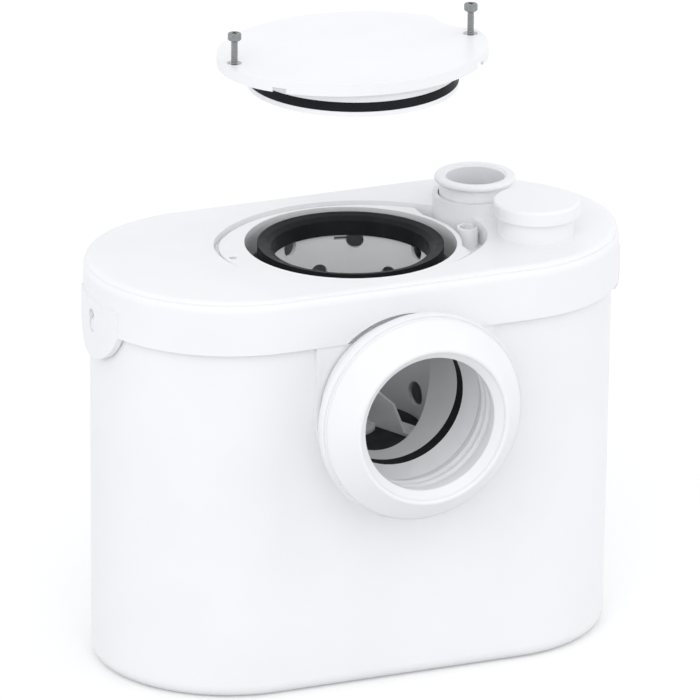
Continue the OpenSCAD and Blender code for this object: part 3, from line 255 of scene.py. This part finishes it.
def white_plastic():
    m = Mat("white_plastic", specular=0.45)
    m.colour(m.noise(14, 2), (0.846, 0.846, 0.862), (0.873, 0.873, 0.884))
    m.rough(m.noise(60, 3), 0.30, 0.38)
    return m.finish(m.noise(2600, 2), 0.05)


def white_rubber():
    m = Mat("white_rubber", specular=0.35)
    m.colour(m.noise(20, 2), (0.832, 0.832, 0.848), (0.862, 0.862, 0.873))
    m.rough(m.noise(90, 3), 0.42, 0.52)
    return m.finish(m.noise(3200, 2), 0.08, edge=0.8 * MM)


def black_rubber():
    m = Mat("black_rubber", specular=0.04)
    m.colour(m.noise(70, 3), (0.0128, 0.0137, 0.0157), (0.0185, 0.0196, 0.0220))
    m.rough(m.noise(160, 3), 0.30, 0.44)
    return m.finish(m.noise(2400, 3), 0.12, edge=0.7 * MM)


def grey_plastic():
    m = Mat("grey_plastic", specular=0.4)
    m.colour(m.noise(26, 3), (0.730, 0.741, 0.743), (0.770, 0.781, 0.783))
    m.rough(m.noise(110, 3), 0.38, 0.50)
    return m.finish(m.noise(2600, 2), 0.10, edge=0.5 * MM)


def inner_plastic():
    m = Mat("inner_plastic", specular=0.4)
    m.colour(m.noise(30, 3), (0.60, 0.60, 0.615), (0.66, 0.66, 0.67))
    m.rough(m.noise(110, 3), 0.45, 0.58)
    return m.finish(m.noise(2200, 2), 0.12)


def black_plastic():
    m = Mat("black_plastic", specular=0.16)
    m.colour(m.noise(40, 3), (0.004, 0.004, 0.005), (0.008, 0.008, 0.0092))
    m.rough(m.noise(120, 3), 0.34, 0.46)
    return m.finish(m.noise(2200, 2), 0.10, edge=0.5 * MM)


def zinc_steel():
    m = Mat("zinc_steel", metallic=1.0)
    m.colour(m.noise(500, 4), (0.270, 0.285, 0.285), (0.340, 0.355, 0.354))
    m.rough(m.noise(900, 3), 0.34, 0.48)
    return m.finish(m.noise(4000, 3), 0.14)


def stainless():
    m = Mat("stainless", metallic=0.2)
    lines = m.noise(420, 4, 0.6, (1.0, 1.0, 9.0))
    m.colour(lines, (0.80, 0.81, 0.82), (0.90, 0.91, 0.92))
    m.rough(lines, 0.26, 0.40)
    return m.finish(lines, 0.10, edge=0.3 * MM)


def insert_brass():
    m = Mat("insert_brass", metallic=1.0)
    m.colour(m.noise(300, 3), (0.44, 0.27, 0.07), (0.56, 0.36, 0.11))
    m.rough(m.noise(700, 3), 0.28, 0.42)
    return m.finish(m.noise(3000, 2), 0.10)


def motor_aluminium():
    m = Mat("motor_aluminium", metallic=1.0)
    m.colour(m.noise(90, 4), (0.50, 0.51, 0.52), (0.60, 0.61, 0.62))
    m.rough(m.noise(380, 4), 0.38, 0.55)
    return m.finish(m.noise(1500, 4), 0.20)


def lamination_steel():
    m = Mat("lamination_steel", metallic=1.0)
    sheets = m.noise(900, 2, 0.5, (0.02, 0.02, 1.0))
    m.colour(sheets, (0.12, 0.125, 0.13), (0.24, 0.245, 0.25))
    m.rough(sheets, 0.40, 0.60)
    return m.finish(sheets, 0.35, SHEET_DEPTH)


def bearing_steel():
    m = Mat("bearing_steel", metallic=1.0)
    m.colour(m.noise(200, 3), (0.42, 0.43, 0.44), (0.50, 0.51, 0.52))
    m.rough(m.noise(600, 3), 0.18, 0.30)
    return m.finish(m.noise(3000, 2), 0.06)


def winding_copper():
    m = Mat("winding_copper", metallic=1.0, coat=0.5, coat_rough=0.2)
    strands = m.noise(700, 3, 0.6, (0.25, 0.25, 1.0))
    m.colour(strands, (0.34, 0.11, 0.04), (0.55, 0.22, 0.10))
    m.rough(strands, 0.25, 0.45)
    return m.finish(strands, 0.6, STRAND_DEPTH)


MAKERS = {
    "white_plastic": white_plastic, "white_rubber": white_rubber, "black_rubber": black_rubber,
    "grey_plastic": grey_plastic, "inner_plastic": inner_plastic, "black_plastic": black_plastic,
    "zinc_steel": zinc_steel, "stainless": stainless, "insert_brass": insert_brass,
    "motor_aluminium": motor_aluminium, "lamination_steel": lamination_steel,
    "bearing_steel": bearing_steel, "winding_copper": winding_copper}


def dress_nodes(materials):
    for part in frame["record"]["subparts"]:
        obj = NODES[part["node"]]
        obj.data.materials.clear()
        obj.data.materials.append(materials[part["material_slot"]])


# Hatch screws, where SHANK_SHARE is the shank's radius over the head's
SCREW_PITCH = 1.5 * MM
THREAD_DEPTH = 0.32 * MM
ROWS_PER_PITCH = 8
HEAD_H = 4.6 * MM
HEAD_CHAMFER = 0.7 * MM
SHANK_SHARE = 2.15 / 4.2
RECESS_DEPTH = 2.0 * MM
RECESS_ARM = 0.5 * MM
RECESS_REACH = 2.15 * MM
AROUND = 48


def ring(bm, centre, z, radius):
    """A loop of vertices at one height; radius is a function of the direction."""
    loop = []
    for k in range(AROUND):
        turn = 2 * math.pi * k / AROUND
        reach = radius(turn)
        x, y = centre.x + reach * math.cos(turn), centre.y + reach * math.sin(turn)
        loop.append(bm.verts.new((x, y, z)))
    return loop


def skin(bm, rings):
    """Faces between neighbouring loops, with both ends closed."""
    for lower, upper in zip(rings, rings[1:]):
        for k in range(AROUND):
            n = (k + 1) % AROUND
            bm.faces.new((lower[k], lower[n], upper[n], upper[k]))
    bm.faces.new(reversed(rings[0]))
    bm.faces.new(rings[-1])


def cross_recess(turn):
    """Outline of a cross-shaped recess, as a radius; RECESS_ARM is half an arm's width."""
    off_axis = math.sin(abs((turn + math.pi / 4) % (math.pi / 2) - math.pi / 4))
    if off_axis * RECESS_REACH <= RECESS_ARM:
        return RECESS_REACH
    return RECESS_ARM / off_axis


def thread(z, foot, shank_r):
    """Radius of a helical thread at one height, as a function of the direction.

    The thread grows out of its root over the first pitch above the foot.
    """
    lead_in = min(1.0, (z - foot) / SCREW_PITCH)

    def radius(turn):
        phase = (z / SCREW_PITCH - turn / (2 * math.pi)) % 1.0
        return shank_r - THREAD_DEPTH * (1 - lead_in) - THREAD_DEPTH * lead_in * abs(2 * phase - 1)
    return radius


def hatch_screw(node, body, material):
    """A pan-head screw with a thread and a cross recess, in place of the node's plain one."""
    low, high = (Vector(corner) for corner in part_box(node))
    centre = (low + high) / 2
    head_r = (high.x - low.x) / 2
    shank_r = head_r * SHANK_SHARE
    seat = high.z - HEAD_H
    bm = bmesh.new()
    rows = int((seat - low.z) / SCREW_PITCH * ROWS_PER_PITCH)
    heights = [low.z + (seat - low.z) * k / rows for k in range(rows + 1)]
    rings = [ring(bm, centre, z, thread(z, low.z, shank_r)) for z in heights]
    profile = [(head_r - HEAD_CHAMFER, 0), (head_r, HEAD_CHAMFER), (head_r, HEAD_H - HEAD_CHAMFER),
               (head_r - HEAD_CHAMFER / 2, HEAD_H - HEAD_CHAMFER / 5), (head_r - HEAD_CHAMFER, HEAD_H)]
    rings += [ring(bm, centre, seat + rise, lambda turn, r=r: r) for r, rise in profile]
    rings += [ring(bm, centre, high.z - drop, cross_recess) for drop in (0, RECESS_DEPTH)]
    skin(bm, rings)
    mesh = bpy.data.meshes.new(node + "_threaded")
    bm.to_mesh(mesh)
    bm.free()
    obj = bpy.data.objects.new(node + "_threaded", mesh)
    bpy.context.scene.collection.objects.link(obj)
    mesh.materials.append(material)
    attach(obj, body)
    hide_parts(node)


make_camera()
make_light()
make_floor()
MATERIALS = {name: maker() for name, maker in MAKERS.items()}
dress_nodes(MATERIALS)
for side in ("left", "right"):
    hatch_screw("hatch_screw_" + side, "screw_" + side, MATERIALS["zinc_steel"])
